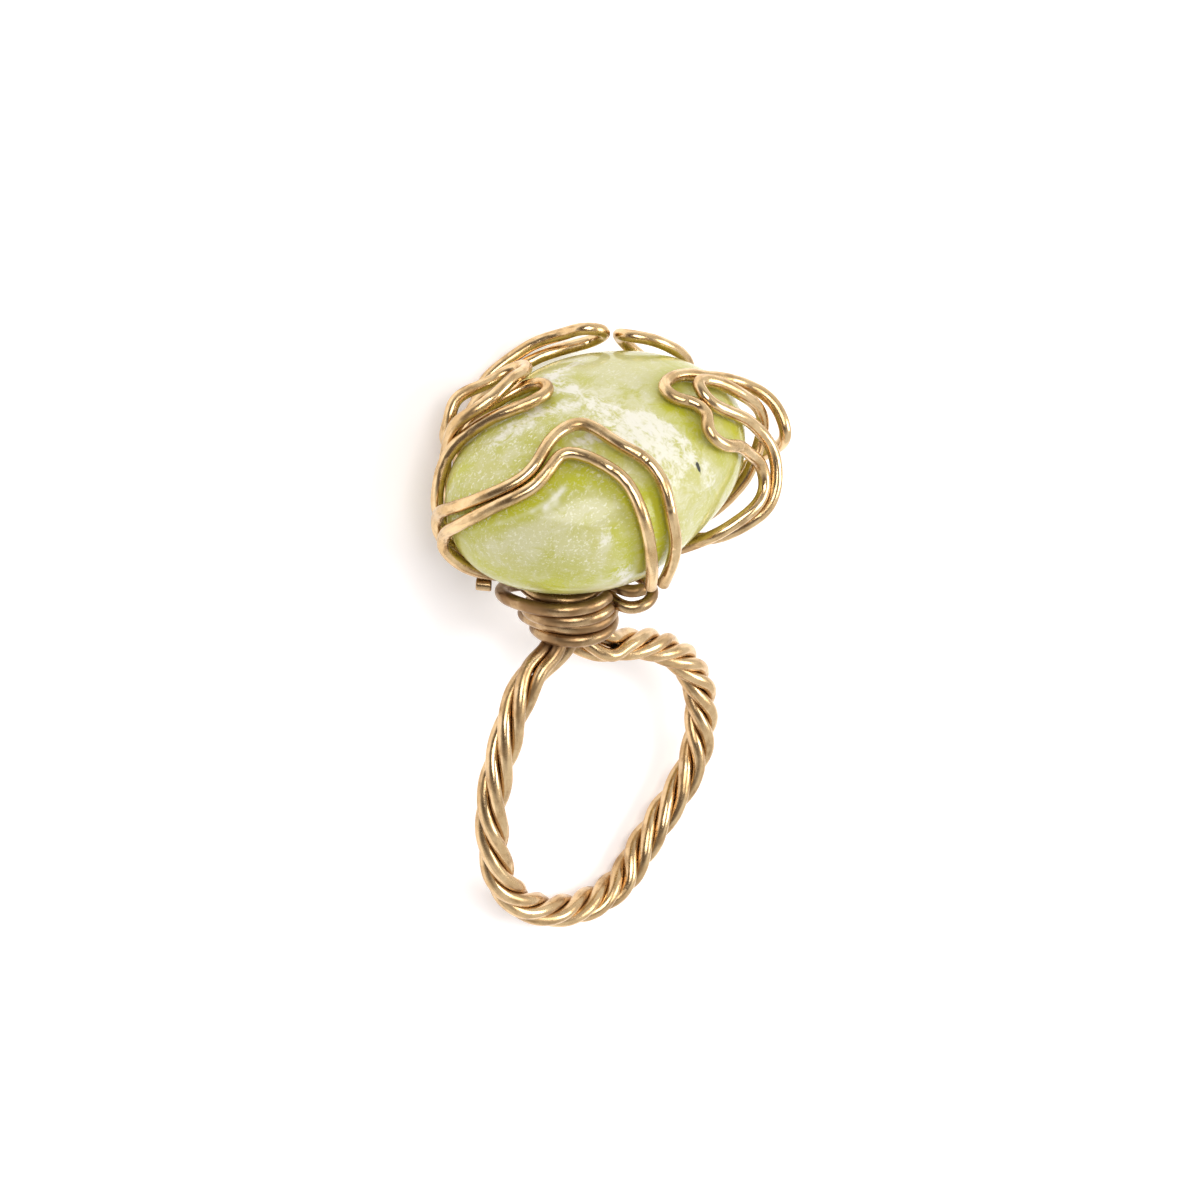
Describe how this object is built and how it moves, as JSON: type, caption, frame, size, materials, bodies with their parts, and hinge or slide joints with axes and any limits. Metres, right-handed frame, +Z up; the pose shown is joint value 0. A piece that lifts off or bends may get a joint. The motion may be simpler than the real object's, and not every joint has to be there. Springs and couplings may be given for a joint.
{
  "type": "finger ring",
  "caption": "Finger ring of twisted bronze wire whose bent wire claws grip a large polished green pebble, lying on its side.",
  "frame": {"origin": "on the surface that the ring lies on, in the middle of its outline seen from above", "axes": "+X across the band, to the right with the stone ahead; +Y from the band to the stone; +Z up, roughly along the finger towards the side that the two front claws cross"},
  "size_m": [0.0262, 0.0438, 0.0187],
  "materials": {
    "bronze": "drawn wire, lightly tarnished",
    "stone": "polished serpentine, mottled, slightly translucent"
  },
  "bodies": {
    "root": {"back_claw_left": "bronze", "back_claw_right": "bronze", "band_strand_1": "bronze", "band_strand_2": "bronze", "band_strand_3": "bronze", "band_strand_4": "bronze", "front_claw_inner": "bronze", "front_claw_outer": "bronze", "left_claw_far": "bronze", "left_claw_near": "bronze", "neck_wire_1": "bronze", "neck_wire_2": "bronze", "neck_wire_3": "bronze", "neck_wire_4": "bronze", "right_claw_far": "bronze", "right_claw_near": "bronze", "side_coil": "bronze", "stone": "stone", "wire_tail": "bronze"}
  },
  "joints": []
}
